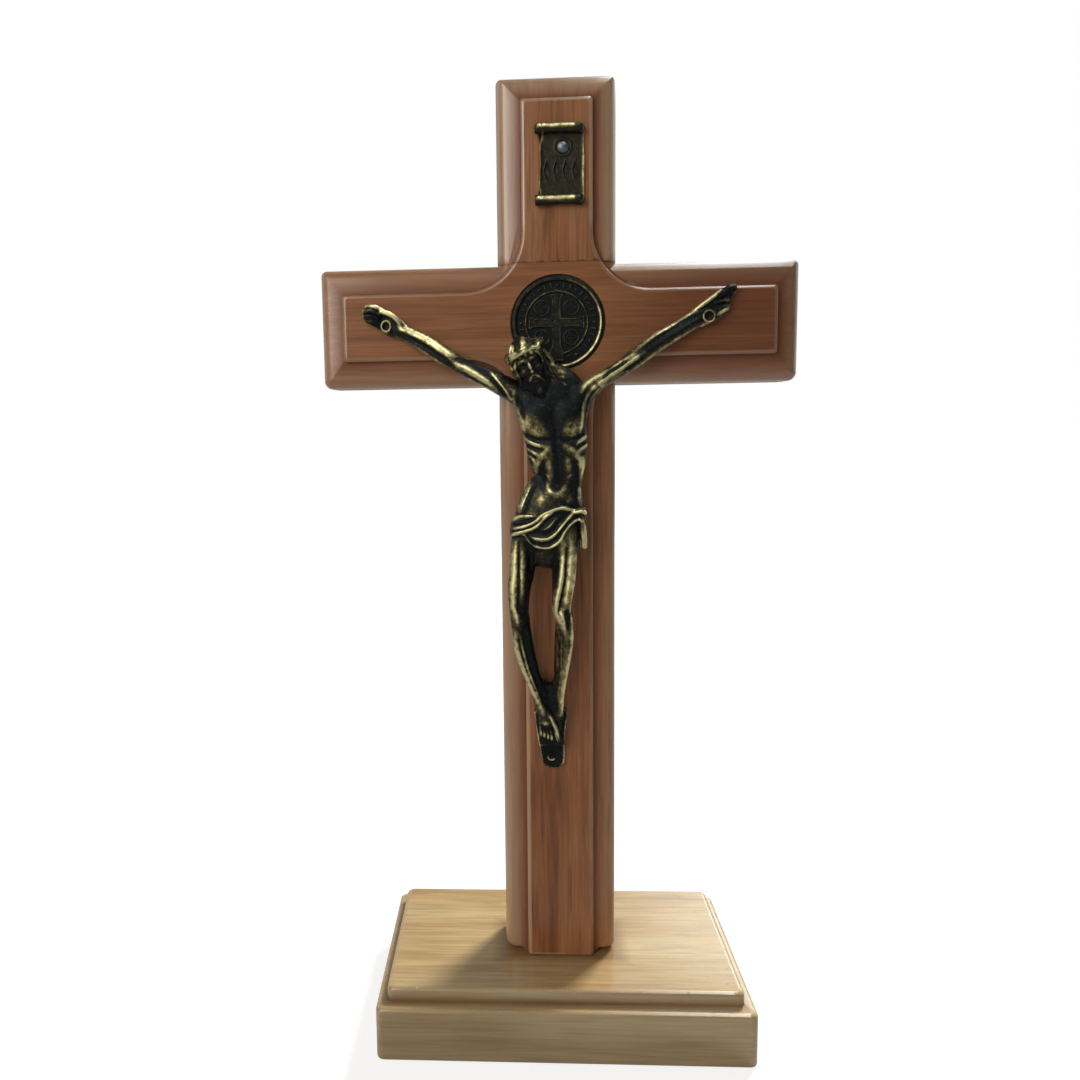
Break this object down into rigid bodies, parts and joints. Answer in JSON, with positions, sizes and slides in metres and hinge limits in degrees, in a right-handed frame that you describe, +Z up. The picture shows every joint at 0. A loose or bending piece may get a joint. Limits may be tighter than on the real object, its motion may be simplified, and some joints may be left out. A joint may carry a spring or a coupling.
{
  "type": "standing cross",
  "caption": "Moulded wooden standing cross on a stepped wooden base, with a cast metal figure, a round medal in the crossing and a small scroll plaque.",
  "frame": {"origin": "under the centre of the base, on the surface the cross stands on", "axes": "+Z up along the post, the figure faces -Y, the crossbeam runs along X"},
  "size_m": [0.1436, 0.0676, 0.2935],
  "materials": {
    "base_wood": "clear satin varnish on pale wood",
    "cross_wood": "reddish stain under satin varnish",
    "aged_brass": "dark patina rubbed back on the high places",
    "pin_steel": "dull grey domed head",
    "zinc_steel": "zinc plated"
  },
  "bodies": {
    "root": {"base": "base_wood", "post": "cross_wood", "crossbeam": "cross_wood", "base_screw_left": "zinc_steel", "base_screw_right": "zinc_steel", "corpus": "aged_brass", "title_plaque": "aged_brass", "plaque_pin": "pin_steel", "medal": "aged_brass", "hand_nail_left": "aged_brass", "hand_nail_right": "aged_brass", "footrest_nail": "aged_brass"}
  },
  "joints": []
}
